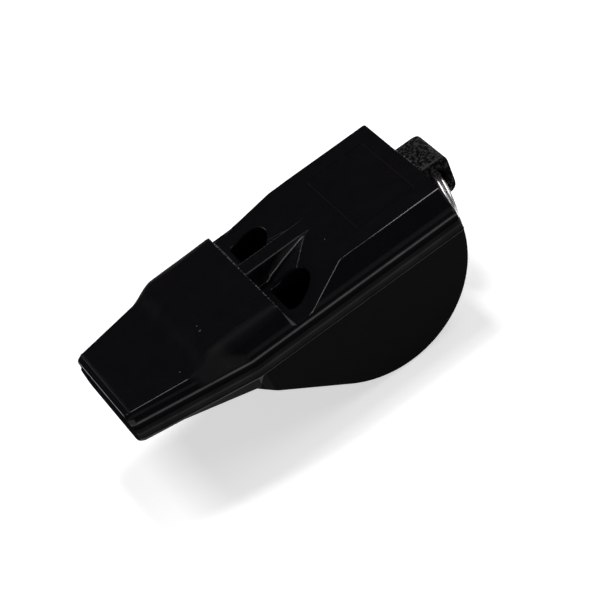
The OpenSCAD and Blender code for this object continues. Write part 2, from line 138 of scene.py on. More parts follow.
def arc_inset(radius, t):
    """How far a rounded corner stands in at distance t from its end."""
    return 0.0 if t >= radius else radius - math.sqrt(radius**2 - (radius - t) ** 2)


def eased(corners):
    """A line through corners, each (point, reach, steps), with a soft bend where there is a reach."""
    out = []
    for i, (point, reach, steps) in enumerate(corners):
        p = np.array(point, float)
        if reach is None:
            out.append(p)
            continue
        a, b = (np.array(corners[j][0], float) - p for j in (i - 1, i + 1))
        la, lb = np.linalg.norm(a), np.linalg.norm(b)
        r = min(reach, 0.45 * la, 0.45 * lb)
        start, end = p + a * r / la, p + b * r / lb
        for k in range(steps + 1):
            t = k / steps
            out.append((1 - t) ** 2 * start + 2 * t * (1 - t) * p + t * t * end)
    return out


# Mesh making


def mesh_object(name, points, faces):
    mesh = bpy.data.meshes.new(name)
    mesh.from_pydata([tuple(p) for p in place(points)], [], faces)
    bm = bmesh.new()
    bm.from_mesh(mesh)
    bmesh.ops.recalc_face_normals(bm, faces=bm.faces)
    bm.to_mesh(mesh)
    bm.free()
    obj = bpy.data.objects.new(name, mesh)
    bpy.context.scene.collection.objects.link(obj)
    return obj


def skin(name, rings, closed=False):
    """A closed solid through rings of points. closed joins the last ring to the first."""
    count = len(rings[0])
    points = np.concatenate([np.asarray(r, float) for r in rings])
    faces = []
    spans = len(rings) if closed else len(rings) - 1
    for i in range(spans):
        a, b = i * count, (i + 1) % len(rings) * count
        for j in range(count):
            k = (j + 1) % count
            faces.append((a + j, a + k, b + k, b + j))
    if not closed:
        faces.append(tuple(range(count)))
        faces.append(tuple(range(len(points) - 1, len(points) - 1 - count, -1)))
    return mesh_object(name, points, faces)


def side_block(name, outline, y_from, y_to, edge=0.0):
    """A side view [x, z] extruded across the whistle, with rounded long edges."""
    obj = skin(name, [[(x, y, z) for x, z in outline] for y in (y_from, y_to)])
    if edge:
        hair = 1e-7
        bm = bmesh.new()
        bm.from_mesh(obj.data)
        ends = [place((0, y, 0))[1] for y in (y_from, y_to)]
        rim = [e for e in bm.edges if any(all(abs(v.co.y - y) < hair for v in e.verts) for y in ends)]
        bmesh.ops.bevel(bm, geom=rim, offset=edge * MM, segments=3, profile=0.5, affect="EDGES")
        bm.to_mesh(obj.data)
        bm.free()
    return obj


def wedge(name, front, back, half_front, half_back, bottom):
    """A block whose plan and roof taper from front (x, top) to back (x, top)."""
    rings = [
        [(x, -half, bottom), (x, half, bottom), (x, half, top), (x, -half, top)]
        for (x, top), half in ((front, half_front), (back, half_back))
    ]
    return skin(name, rings)


def carve(obj, add=(), cut=()):
    """Joins and cuts solids, and leaves one plain mesh."""
    for tool, operation in [(t, "UNION") for t in add] + [(t, "DIFFERENCE") for t in cut]:
        step = obj.modifiers.new(tool.name, "BOOLEAN")
        step.operation = operation
        step.solver = "EXACT"
        step.object = tool
    graph = bpy.context.evaluated_depsgraph_get()
    result = bpy.data.meshes.new_from_object(obj.evaluated_get(graph))
    obj.modifiers.clear()
    old, obj.data = obj.data, result
    result.name = obj.name
    bpy.data.meshes.remove(old)
    for tool in (*add, *cut):
        mesh = tool.data
        bpy.data.objects.remove(tool)
        bpy.data.meshes.remove(mesh)
    return obj


def smooth(obj, angle=34):
    obj.data.shade_smooth()
    obj.data.set_sharp_from_angle(angle=math.radians(angle))
    weight = obj.modifiers.new("even shading", "WEIGHTED_NORMAL")
    weight.keep_sharp = True


# Upper moulding


def top_z(x):
    """Height of the mouthpiece's roof, the rise and the cover, with a small bevel behind the lip."""
    if x <= RISE_X:
        bevel_x, bevel_drop = 1.1, 0.2
        return mix(MOUTH_Z, RISE_Z, x / RISE_X) - bevel_drop * max(0.0, 1 - x / bevel_x)
    return RISE_Z * (1 - ease((x - RISE_X) / (COVER_X - RISE_X)))


def edge_y(x):
    """Half width of the roof and the cover where they meet the sides."""
    if x <= RISE_X:
        half = mix(EDGE_LIP_Y, EDGE_RISE_Y, x / RISE_X)
    else:
        half = mix(EDGE_RISE_Y, DECK_Y, min(1.0, (x - RISE_X) / (COVER_X - RISE_X)))
    return half - arc_inset(LIP_CORNER_R, x)


def rim_y(x):
    """Half width of the rim."""
    return mix(RIM_LIP_Y, RIM_Y, min(1.0, x / KINK_X)) - arc_inset(LIP_CORNER_R, x)


def shoulder(x):
    """Reach of the bend between the top and the sides, which softens quickly up the rise."""
    if x <= RISE_X:
        return MOUTH_SOFT
    if x < COVER_X:
        softening_len = 2.2
        return mix(MOUTH_SOFT, COVER_SOFT, ease((x - RISE_X) / softening_len))
    return mix(COVER_SOFT, COVER_REAR_SOFT, (x - COVER_X) / (NOTCH_X - COVER_X))


def upper_ring(x, mid_z, side_z, edge, rim, soft, facet=(0.12, 0.0, 0.0), fillet=0.06, lean=0.0):
    """One cross-section, from the middle of the seam right round.

    The spine's top is at mid_z and the faces beside it at side_z. facet is the slanted strip beside the
    spine: its width, and how far its inner and outer edge stand up. lean slants the section backwards.
    """
    seam_bevel, ledge_in, ledge_up, draft = 0.05, 0.32, 0.3, 0.045
    foot = (rim - FOOT_INSET, min(SIDE_FOOT_Z, side_z - 0.03))
    wall = SPINE_Y + 0.01 + draft * max(0.0, mid_z - side_z)
    facet_width, facet_in, facet_out = facet
    half = eased([
        ((rim - seam_bevel, SEAM_Z), None, 0),
        ((rim, SEAM_Z + seam_bevel), None, 0),
        ((rim, RIM_TOP_Z), 0.22, 6),
        ((rim - ledge_in, RIM_TOP_Z + ledge_up), 0.06, 3),
        (foot, 0.08, 3),
        ((min(edge, foot[0] - 0.12), side_z), soft, 10),
        ((wall + facet_width + 0.06, side_z), 0.03, 2),
        ((wall + facet_width, side_z + facet_out), 0.04, 3),
        ((wall, side_z + facet_in), fillet, 5),
        ((SPINE_Y, mid_z), 0.12, 4),
        ((0.0, mid_z), None, 0),
    ])
    ring = [(0.0, SEAM_Z)] + [tuple(p) for p in half] + [(-y, z) for y, z in half[-2::-1]]
    return [(x + lean * z, y, z) for y, z in ring]


def facet_at(x):
    """The slanted strip beside the spine: widest at the foot of the slope, and gone near its top."""
    length, width, height, step_height = 3.8, 3.4, 0.3, 0.05
    t = min(1.0, max(0.0, (DECK_X - 0.75 - x) / length))
    start = ease((x - BLADE_X + 0.5) / 0.5)
    step = step_height * start * ease(t * 12)
    return max(0.12, width * t), step + height * t * start, step


def upper_rings():
    """Cross-sections from the lip to the rear wall."""
    lip_setback, lip_r, lip_fall = 0.24, 0.1, 0.12
    ridge_x, ridge_half, ridge_height = 1.08, 0.2, 0.08
    roof = []
    for t in np.arange(6) / 5:
        x = lip_setback + lip_r * t * t
        roof.append((x, top_z(x) - lip_fall * (1 - t) ** 2))
    roof += [(x, top_z(x)) for x in (0.38, 0.46, 0.6, 0.76)]
    for x in np.linspace(ridge_x - ridge_half, ridge_x + ridge_half, 11):
        roof.append((x, top_z(x) + ridge_height * ease(1 - abs(x - ridge_x) / ridge_half)))
    roof += [(x, top_z(x)) for x in (1.36, 1.7, 3, 4.5, 6, 7.5, 8.5, *np.linspace(RISE_X, COVER_X, 19))]
    roof += [(x, 0.0) for x in (13.6, 14.6, KINK_X, 16.5, 18, 19.5, 20.6, 21.1)]
    out = [upper_ring(x, z, z, edge_y(x), rim_y(x), shoulder(x)) for x, z in roof]
    # Down the cover's rear wall, along the notch floor and up the slope, with the spine left standing
    path = eased([
        ((NOTCH_X - 0.25, 0), None, 0), ((NOTCH_X, 0), 0.13, 5), ((FLOOR_X, NOTCH_Z), 0.15, 4),
        ((BLADE_X, NOTCH_Z), 0.3, 5), ((DECK_X, 0), 0.7, 7), ((DECK_X + 1.1, 0), None, 0),
    ])
    longest = 0.4
    dense = []
    for a, b in zip(path, path[1:]):
        pieces = max(1, int((b[0] - a[0]) / longest))
        dense += [a + (b - a) * k / pieces for k in range(pieces)]
    for x, z in [*dense, path[-1]]:
        on_wall = x < NOTCH_X + 0.3
        soft = mix(COVER_REAR_SOFT, NOTCH_SOFT, ease(-z / 0.7)) if on_wall else NOTCH_SOFT
        edge = DECK_Y - z * SIDE_SLOPE
        out.append(upper_ring(x, 0.0, z, edge, RIM_Y, soft, facet_at(x), fillet=0.11))
    # The flat deck, with points at the lug's half width
    at_lug = (LUG_Y - SPINE_Y - 0.01, 0.0, 0.0)
    for x in (33, 35, 37, 39, 41, 43, 43.8):
        soft = mix(*DECK_SOFT, ease((x - 33) / 9))
        out.append(upper_ring(x, 0, 0, DECK_Y, RIM_Y, soft, at_lug))
    for k in range(7):
        angle = math.pi / 2 * k / 6
        inset = BACK_R * (1 - math.cos(angle))
        x = BACK_X - BACK_R * (1 - math.sin(angle))
        fall = 0.1 * max(0.0, 1 - (BACK_X - x) / 0.1) ** 2
        lean = 0.1 * math.sin(angle)
        edge, rim = DECK_Y - inset, RIM_Y - inset
        out.append(upper_ring(x, -fall, -fall, edge, rim, DECK_SOFT[1], at_lug, lean=lean))
    return out


def surface_z(x):
    """Height of the notch floor and the slope at x."""
    return min(0.0, max(NOTCH_Z, NOTCH_Z * (DECK_X - x) / (DECK_X - BLADE_X)))


def window_outline(grow=0.0):
    """One window's plan, drawn outwards by grow: a blunt front, short sides and a rounded back."""
    mid, half = (WINDOW_IN_Y + WINDOW_OUT_Y) / 2, (WINDOW_OUT_Y - WINDOW_IN_Y) / 2
    straight = WINDOW_LEN * 0.22
    x0, y_in, y_out = WINDOW_X - grow, mid - half - grow, mid + half + grow
    outline = [(x0, y_in + 0.4), (x0, y_out - 0.7), (x0 + 0.14, y_out - 0.35), (x0 + 0.42, y_out - 0.1)]
    for k in range(25):
        angle = math.pi * k / 24
        outline.append((
            WINDOW_X + straight + (WINDOW_LEN - straight + grow) * math.sin(angle),
            mid + (half + grow) * math.cos(angle),
        ))
    outline += [(x0 + 0.4, y_in + 0.03), (x0 + 0.12, y_in + 0.14)]
    return outline


def window_cutter(side):
    """Cuts a window and eases its rim, following the floor and the slope."""
    below = -6.0
    rings = [[(x, side * y, surface_z(x) + above) for x, y in window_outline(grow)]
             for grow, above in ((0.4, 0.33), (0.09, 0.012), (0.05, -0.03), (0.015, -0.08), (0.0, -0.14))]
    rings.append([(x, side * y, below) for x, y in window_outline()])
    return skin("window", rings)


def room_cutter(side):
    """The room under the deck on one side of the middle rib."""
    below, roof_z = -5, -1.6
    rings = []
    for x, top, top_y in ((27.5, -3.39, 10.5), (31.35, roof_z, 9.6), (42.85, roof_z, 9.6)):
        half = ((HALF_WALL, below), (CHAMBER_Y, below), (CHAMBER_Y, SEAM_Z), (top_y, top), (HALF_WALL, top))
        rings.append([(x, side * y, z) for y, z in half])
    return skin("room", rings)


def bore_cutter():
    """The hole through the lug, flared and eased at both ends."""
    flare = ((5.0, 2.6), (3.5, 1.6), (3.42, 1.5), (3.3, 1.4), (2.9, 1.13), (2.8, BORE_R))
    angles = [2 * math.pi * k / 48 for k in range(48)]
    rings = [
        [(BORE[0] + r * math.cos(a), y, BORE[1] + r * math.sin(a)) for a in angles]
        for y, r in [(-y, r) for y, r in flare] + list(flare[::-1])
    ]
    return skin("bore", rings)


def panel_cutter():
    """The thin line engraved round the deck's bare panel, with eased corners."""
    (x0, x1), y, r = PANEL_X, PANEL_Y, 0.45

    def loop(grow):
        points = []
        for cx, cy, start in ((x1, y, 0), (x0, y, 90), (x0, -y, 180), (x1, -y, 270)):
            mid_x = cx - (r if cx == x1 else -r)
            mid_y = cy - math.copysign(r, cy)
            for k in range(5):
                a = math.radians(start + 90 * k / 4)
                points.append((mid_x + (r + grow) * math.cos(a), mid_y + (r + grow) * math.sin(a)))
        return points

    groove = ((0.09, 0.05), (0.05, -0.07), (-0.05, -0.07), (-0.09, 0.05))
    return skin("panel line", [[(x, y, z) for x, y in loop(grow)] for grow, z in groove], closed=True)


def roof_of_recess(x):
    """Height of the air channels' roof."""
    return mix(-2.35, -3.0, x / WINDOW_X)


def make_upper():
    body = skin("upper_moulding", upper_rings())
    below = -6
    lip_roof = roof_of_recess(0)
    cuts = [
        wedge(
            "recess", (RECESS_X, roof_of_recess(RECESS_X)), (WINDOW_X + 0.05, roof_of_recess(WINDOW_X)),
            RECESS_FRONT_Y, RECESS_BACK_Y, below,
        ),
        wedge("slot", (-1.0, roof_of_recess(-1)), (1.4, roof_of_recess(1.4)), SLOT_Y, SLOT_Y, below),
        wedge("slot_edge", (-0.4, lip_roof + 0.5), (0.22, lip_roof - 0.1), 7.0, 6.4, below),
        panel_cutter(),
    ]
    for side in (1, -1):
        cuts += [window_cutter(side), room_cutter(side)]
    return carve(body, cut=cuts)


# Lower moulding


def lower_ring(x, end_inset=0.0, fall=0.0):
    """Half of the slab under the seam: belly of the mouthpiece in front, rim behind."""
    behind = ease((x - KINK_X + 0.8) / 1.2)
    rim = rim_y(x) - end_inset
    belly_x, belly_slope = 5.6, 0.118
    belly = MOUTH_BOTTOM_Z - belly_slope * max(0.0, x - belly_x)
    bottom = mix(belly, RIM_BOTTOM_Z, behind) + fall
    knee = mix(mix(-4.9, -5.12, min(1, x / 8)), RIM_BOTTOM_Z + 0.07, behind)
    tuck = mix(0.53, 0.06, behind)
    seam_bevel, step_in, step_up = 0.05, 0.05, 0.04
    half = eased([
        ((0.0, bottom), None, 0),
        ((rim - tuck, bottom), 0.16, 4),
        ((rim, knee), 0.06, 4),
        ((rim, STEP_Z), 0.03, 2),
        ((rim - step_in, STEP_Z + step_up), 0.03, 2),
        ((rim - step_in, SEAM_Z - seam_bevel), None, 0),
        ((rim - step_in - seam_bevel, SEAM_Z), None, 0),
    ])
    return [(x, 0.0, SEAM_Z)] + [(x, -y, z) for y, z in half[:0:-1]] + [(x, y, z) for y, z in half]


def slanted_front(radius, top):
    """Where the drum's slanted front begins at this height, and where it runs into the circle."""
    sin, cos = math.sin(DRUM_FRONT_ANGLE), math.cos(DRUM_FRONT_ANGLE)
    tangent = (DRUM_C[0] - radius * sin, DRUM_C[1] - radius * cos)
    reach = (top - tangent[1]) / sin
    return (tangent[0] - reach * cos, top), tangent


def drum_outline(radius, front_top):
    """The drum's side view: a straight slanted front that runs into the circle."""
    inside_rim_z = -3.8
    outline = [slanted_front(radius, front_top)[0]]
    top = math.degrees(math.asin((inside_rim_z - DRUM_C[1]) / radius))
    for k in range(97):
        a = math.radians(mix(-90 - math.degrees(DRUM_FRONT_ANGLE), top, k / 96))
        outline.append((DRUM_C[0] + radius * math.cos(a), DRUM_C[1] + radius * math.sin(a)))
    outline.append((outline[0][0], outline[-1][1]))
    return outline


def drum_corner_cutter(side):
    """Eases the drum's front corner in under the mouthpiece."""
    start_x, end_x, softness, slope = 16.9, 10.0, 1.0, 0.62
    outside = DRUM_Y + 1
    plan = [
        (x, DRUM_Y - slope * (start_x - x) ** 2 / (start_x + softness - x))
        for x in np.linspace(start_x, end_x, 24)
    ]
    plan += [(end_x, outside), (start_x, outside)]
    return skin("drum_corner", [[(x, side * y, z) for x, y in plan] for z in (-16.0, -3.0)])


def chamber_cutter(side):
    """One chamber, open to the top."""
    open_z = -2.0
    start = math.degrees(math.acos((WINDOW_X - 0.08 - DRUM_C[0]) / CHAMBER_R))
    outline = [
        (DRUM_C[0] + CHAMBER_R * math.cos(a), DRUM_C[1] + CHAMBER_R * math.sin(a))
        for a in np.radians(np.linspace(-start, 0, 60))
    ]
    outline += [(outline[-1][0], open_z), (outline[0][0], open_z)]
    return side_block("chamber", outline, *sorted((side * HALF_WALL, side * CHAMBER_Y)))


def front_room_cutter(side):
    """The room in front of a chamber, under the tray."""
    top, back_x, outer_y = -4.95, 22.7, 6.8
    front, tangent = slanted_front(CHAMBER_R, top)
    outline = [front, (back_x, tangent[1] - 0.4), (back_x, top)]
    return side_block("front_room", outline, *sorted((side * HALF_WALL, side * outer_y)))


def lug_outline():
    """The lug's side view. Its front stands against the upper moulding's rear wall above the seam."""
    root_x, foot_z = 43.2, -6.1
    return [tuple(p) for p in eased([
        ((root_x, SEAM_Z), None, 0),
        ((44.34, SEAM_Z), None, 0),
        ((44.575, -1.02), None, 0),
        ((LUG_TOP_X, LUG_TOP_Z + 0.03), None, 0),
        ((LUG_X, LUG_TOP_Z), 1.25, 10),
        ((LUG_X - 0.65, foot_z), 1.1, 8),
        ((root_x, foot_z), None, 0),
    ])]


def make_lower():
    """The slab with the drum and the lug joined on, and its pocket, chambers and hole cut."""
    stations = [1 - math.cos(math.pi / 2 * k / 8) for k in range(9)]
    stations += [1.5, 3, 4.5, 5.6, 7, 9, 11, 13, 14.4]
    stations += [*np.linspace(KINK_X - 0.8, KINK_X + 0.4, 13), 18, 24, 30, 36, 42]
    edge_len, hair = 0.12, 1e-4
    rings = [lower_ring(x + hair, fall=edge_len * max(0.0, 1 - x / edge_len) ** 2) for x in stations]
    back = BACK_X - 0.34
    for k in range(7):
        angle = math.pi / 2 * k / 6
        x = back - BACK_R * (1 - math.sin(angle))
        rings.append(lower_ring(x, BACK_R * (1 - math.cos(angle))))
    body = skin("lower_moulding", rings)
    drum = side_block("drum", drum_outline(DRUM_R, -5.2), -DRUM_Y, DRUM_Y, edge=0.22)
    carve(drum, cut=[drum_corner_cutter(side) for side in (1, -1)])
    lug = side_block("lug", lug_outline(), -LUG_Y, LUG_Y, edge=0.16)
    above, slot_floor = -2.0, -3.9
    cuts = [
        wedge(
            "pocket", (RECESS_X, above), (WINDOW_X + 0.02, above), RECESS_FRONT_Y, RECESS_BACK_Y, -4.9
        ),
        wedge("slot", (-1.0, above), (1.4, above), SLOT_Y, SLOT_Y, slot_floor),
        wedge("slot_edge", (-0.4, above), (0.2, above), 6.7, 6.4, slot_floor - 0.1),
        bore_cutter(),
    ]
    for side in (1, -1):
        cuts += [chamber_cutter(side), front_room_cutter(side)]
    return carve(body, add=[drum, lug], cut=cuts)


# Split ring


def make_ring():
    """Flat spring wire wound twice round, crossing from one turn to the other near the bottom."""
    wire_w, wire_t, pitch, mean_r = 1.0, 0.5, 0.56, 6.2
    lean, drop = math.radians(16.5), 5.853
    crossing, end_gap = 22, 2.5
    half_run = 360 - crossing - end_gap
    squareness, sides, count = 0.42, 20, 340
    spun = math.radians(30)
    trims = {0: 0.8, 1: 0.93}
    rings = []
    for i in range(count + 1):
        deg = mix(half_run, -half_run, i / count)
        a = math.radians(deg)
        offset = pitch * (ease((deg + crossing) / (2 * crossing)) - 0.5)
        trim = trims.get(min(i, count - i), 1.0)
        ring = []
        for k in range(sides):
            b = 2 * math.pi * (k + 0.5) / sides
            across = math.copysign(abs(math.cos(b)) ** squareness, math.cos(b)) * wire_w / 2 * trim
            along = math.copysign(abs(math.sin(b)) ** squareness, math.sin(b)) * wire_t / 2 * trim + offset
            # In the ring's own plane, spun so that the crossing comes near its lowest point
            u = (mean_r + across) * math.cos(a)
            v = (mean_r + across) * math.sin(a)
            u, v = u * math.cos(spun) - v * math.sin(spun), u * math.sin(spun) + v * math.cos(spun)
            x, z = along, -u - drop
            ring.append((
                BORE[0] + x * math.cos(lean) + z * math.sin(lean),
                v,
                BORE[1] - x * math.sin(lean) + z * math.cos(lean),
            ))
        rings.append(ring)
    return skin("nickel_split_ring", rings)


# Shader nodes


def node_group(name, inputs, outputs):
    group = bpy.data.node_groups.new(name, "ShaderNodeTree")
    for label, value in inputs.items():
        socket = group.interface.new_socket(name=label, in_out="INPUT", socket_type="NodeSocketFloat")
        socket.default_value = value
    for label in outputs:
        kind = "NodeSocketVector" if label == "Normal" else "NodeSocketFloat"
        group.interface.new_socket(name=label, in_out="OUTPUT", socket_type=kind)
    return group, group.nodes.new("NodeGroupInput"), group.nodes.new("NodeGroupOutput")


def add(tree, kind, **settings):
    node = tree.nodes.new(kind)
    for key, value in settings.items():
        setattr(node, key, value)
    return node


def feed(tree, socket, value):
    """Sets a socket to a number or a colour, or links it to another socket."""
    if isinstance(value, (int, float)):
        socket.default_value = value
    elif isinstance(value, tuple):
        socket.default_value = (*value, 1)
    else:
        tree.links.new(value, socket)


def math_node(tree, operation, a, b=None, clamp=False):
    node = add(tree, "ShaderNodeMath", operation=operation, use_clamp=clamp)
    feed(tree, node.inputs[0], a)
    if b is not None:
        feed(tree, node.inputs[1], b)
    return node.outputs[0]


def product(tree, *masks):
    result = masks[0]
    for mask in masks[1:]:
        result = math_node(tree, "MULTIPLY", result, mask)
    return result


def rising(tree, value, start, end):
    """A mask that goes softly from 0 where the value is start to 1 where it is end."""
    node = add(tree, "ShaderNodeMapRange", interpolation_type="SMOOTHSTEP")
    feed(tree, node.inputs["Value"], value)
    node.inputs["From Min"].default_value = start
    node.inputs["From Max"].default_value = end
    return node.outputs["Result"]


def surface_place(tree):
    return add(tree, "ShaderNodeTexCoord").outputs["Object"]


def axes(tree, where):
    """The x, y and z of a place."""
    split = add(tree, "ShaderNodeSeparateXYZ")
    tree.links.new(where, split.inputs[0])
    return split.outputs["X"], split.outputs["Y"], split.outputs["Z"]


def noise(tree, where, scale, detail=2):
    texture = add(tree, "ShaderNodeTexNoise")
    tree.links.new(where, texture.inputs["Vector"])
    feed(tree, texture.inputs["Scale"], scale)
    texture.inputs["Detail"].default_value = detail
    return texture.outputs["Fac"]


def bump(tree, height, depth, below=None):
    node = add(tree, "ShaderNodeBump")
    feed(tree, node.inputs["Height"], height)
    feed(tree, node.inputs["Distance"], depth)
    if below is not None:
        tree.links.new(below, node.inputs["Normal"])
    return node.outputs["Normal"]


def blend(tree, mask, below, above):
    """The colour below, with the colour above over it where the mask is 1."""
    node = add(tree, "ShaderNodeMix", data_type="RGBA")
    feed(tree, node.inputs["Factor"], mask)
    feed(tree, node.inputs["A"], below)
    feed(tree, node.inputs["B"], above)
    return node.outputs["Result"]


def placed(tree, group, values=None):
    """A node group placed in a material with its own values."""
    node = add(tree, "ShaderNodeGroup", node_tree=group)
    for label, value in (values or {}).items():
        node.inputs[label].default_value = value
    return node.outputs


def moulded_skin_group():
    """Slight waviness of a moulded face with the tool's fine grain on it."""
    group, inside, out = node_group(
        "moulded skin",
        {"Wave depth": 0.00005, "Grain depth": 0.000003, "Grain size": 9000.0},
        ("Normal", "Cloud"),
    )
    where = surface_place(group)
    waves = bump(group, noise(group, where, 210), inside.outputs["Wave depth"])
    grain = noise(group, where, inside.outputs["Grain size"], detail=3)
    normal = bump(group, grain, inside.outputs["Grain depth"], below=waves)
    group.links.new(normal, out.inputs["Normal"])
    group.links.new(noise(group, where, 420, detail=5), out.inputs["Cloud"])
    return group


def dust_group():
    """A few pale specks of dust, and fine hairlines from handling."""
    group, inside, out = node_group(
        "dust and handling", {"Specks": 0.05, "Hairlines": 0.3}, ("Dust", "Rub")
    )
    where = surface_place(group)
    cells = add(group, "ShaderNodeTexVoronoi", feature="F1")
    cells.inputs["Scale"].default_value = 620
    group.links.new(where, cells.inputs["Vector"])
    split = add(group, "ShaderNodeSeparateColor")
    group.links.new(cells.outputs["Color"], split.inputs[0])
    kept = math_node(group, "LESS_THAN", split.outputs[0], inside.outputs["Specks"])
    reach = math_node(group, "ADD", math_node(group, "MULTIPLY", split.outputs[1], 0.07), 0.03)
    spot = math_node(group, "LESS_THAN", cells.outputs["Distance"], reach)
    group.links.new(product(group, kept, spot), out.inputs["Dust"])
    stretch = add(group, "ShaderNodeMapping")
    stretch.inputs["Rotation"].default_value = (0.3, 0.2, 0.5)
    stretch.inputs["Scale"].default_value = (1.0, 14.0, 9.0)
    group.links.new(where, stretch.inputs["Vector"])
    lines = noise(group, stretch.outputs["Vector"], 700, detail=4)
    rub = product(group, math_node(group, "SUBTRACT", lines, 0.5), inside.outputs["Hairlines"])
    group.links.new(rub, out.inputs["Rub"])
    return group


def handled_rim_group():
    """How strongly the rim's side shines at each height: bright edges worn by handling, with dull faces
    between.
    """
    group, _, out = node_group("handled rim", {}, ("Shine",))
    where = surface_place(group)
    low, high = -6.0, -2.0
    height = add(group, "ShaderNodeMapRange")
    height.inputs["From Min"].default_value = place((0, 0, low))[2]
    height.inputs["From Max"].default_value = place((0, 0, high))[2]
    group.links.new(axes(group, where)[2], height.inputs["Value"])
    ramp = add(group, "ShaderNodeValToRGB")
    # Height and shine: lower edge, lower half of the rim, the step in it, the seam and the upper edge
    levels = (
        (-5.3, 0.6), (-5.17, 1.0), (-5.1, 1.0), (-5.02, 0.06), (-4.85, 0.06), (-4.7, 0.12), (-4.4, 0.13),
        (-4.3, 0.24), (-4.2, 0.4), (-4.1, 0.24), (-4.02, 0.07), (-3.85, 0.09), (-3.68, 0.09), (-3.6, 0.024),
        (-3.4, 0.01), (-3.0, 0.024), (-2.88, 0.06), (-2.78, 0.85), (-2.66, 0.85), (-2.56, 0.35),
        (-2.42, 0.08),
    )
    stops = ramp.color_ramp.elements
    while len(stops) < len(levels):
        stops.new(0.5)
    for stop, (z, shine) in zip(stops, levels):
        stop.position = (z - low) / (high - low)
        stop.color = (shine, shine, shine, 1)
    group.links.new(height.outputs["Result"], ramp.inputs["Fac"])
    uneven = noise(group, where, 380, detail=4)
    level = math_node(group, "ADD", math_node(group, "MULTIPLY", uneven, 1.2), 0.4)
    shine = math_node(group, "MULTIPLY", ramp.outputs["Color"], level, clamp=True)
    group.links.new(shine, out.inputs["Shine"])
    return group


def painted_sheen_group():
    """Painted sheen: a greyer colour standing for soft reflections beside the rise and along the sides'
    foot.
    """
    group, _, out = node_group("painted sheen places", {}, ("Painted sheen",))
    where = surface_place(group)
    along, sideways, height = axes(group, where)
    across = math_node(group, "ABSOLUTE", sideways)

    def x_mask(start, end):
        return rising(group, along, place((start, 0, 0))[0], place((end, 0, 0))[0])

    def z_mask(start, end):
        return rising(group, height, place((0, 0, start))[2], place((0, 0, end))[2])

    def y_mask(start, end, distance=across):
        return rising(group, distance, start * MM, end * MM)

    def from_slant(slope):
        """How far out a place lies from a line that starts on the middle and widens by this slope."""
        return math_node(group, "SUBTRACT", across, math_node(group, "MULTIPLY", along, slope))

    uneven = noise(group, where, 500)
    level = math_node(group, "ADD", math_node(group, "MULTIPLY", uneven, 0.8), 0.6)
    # Painted sheen beside the rise and along the sides' foot
    cheek = product(group, x_mask(8.6, 10.2), x_mask(14.8, 12.2), y_mask(9.4, 10.1))
    foot = product(group, y_mask(11.7, 11.85), z_mask(-1.75, -2.0), z_mask(-2.3, -2.18))
    # On the mouthpiece the band keeps its distance from the rim, which widens towards the rise
    widening = (rim_y(8.0) - rim_y(4.0)) / 4.0
    rim_here = rim_y(4.0) - widening * (4.0 + ORIGIN[0])
    from_rim = from_slant(widening)
    inner_edge = y_mask(rim_here - 0.84, rim_here - 0.72, from_rim)
    outer_edge = y_mask(rim_here - 0.48, rim_here - 0.6, from_rim)
    front = product(group, inner_edge, outer_edge, x_mask(9.6, 8.6))
    # Behind the rise the grey runs out to a point at the kink of the rim
    past_slant = y_mask(16.35, 16.95, from_slant(0.54))
    tail = product(group, past_slant, x_mask(11.0, 13.0), x_mask(15.6, 14.9))
    places = cheek
    for place_mask in (foot, front, tail):
        places = math_node(group, "MAXIMUM", places, place_mask)
    group.links.new(product(group, places, level), out.inputs["Painted sheen"])
    return group


def glint_speckle_group():
    """Light and dark grains of a rough, spark eroded or torn face; the light grains are painted glints."""
    group, inside, out = node_group("glint_speckle", {"Size": 4000.0}, ("Light",))
    grains = noise(group, surface_place(group), inside.outputs["Size"])
    steep = math_node(group, "MULTIPLY", math_node(group, "SUBTRACT", grains, 0.5), 6.0)
    raised = math_node(group, "ADD", steep, 0.4, clamp=True)
    group.links.new(math_node(group, "POWER", raised, 2.4), out.inputs["Light"])
    return group


SKIN = moulded_skin_group()
DUST = dust_group()
RIM = handled_rim_group()
GLINT_SPECKLE = glint_speckle_group()
PAINTED_SHEEN = painted_sheen_group()

# Finishes

DUST_COLOUR = (0.055, 0.055, 0.057)
# Colour of the painted sheen, greyer than the polished black
PAINTED_SHEEN_COLOUR = (0.0098, 0.0095, 0.0098)
CLOUDINESS = 0.12
LEAST_ROUGHNESS = 0.05
MICROMETRE = 0.000001


def new_material(name):
    material = bpy.data.materials.new(name)
    material.use_nodes = True
    return material, material.node_tree, material.node_tree.nodes["Principled BSDF"]


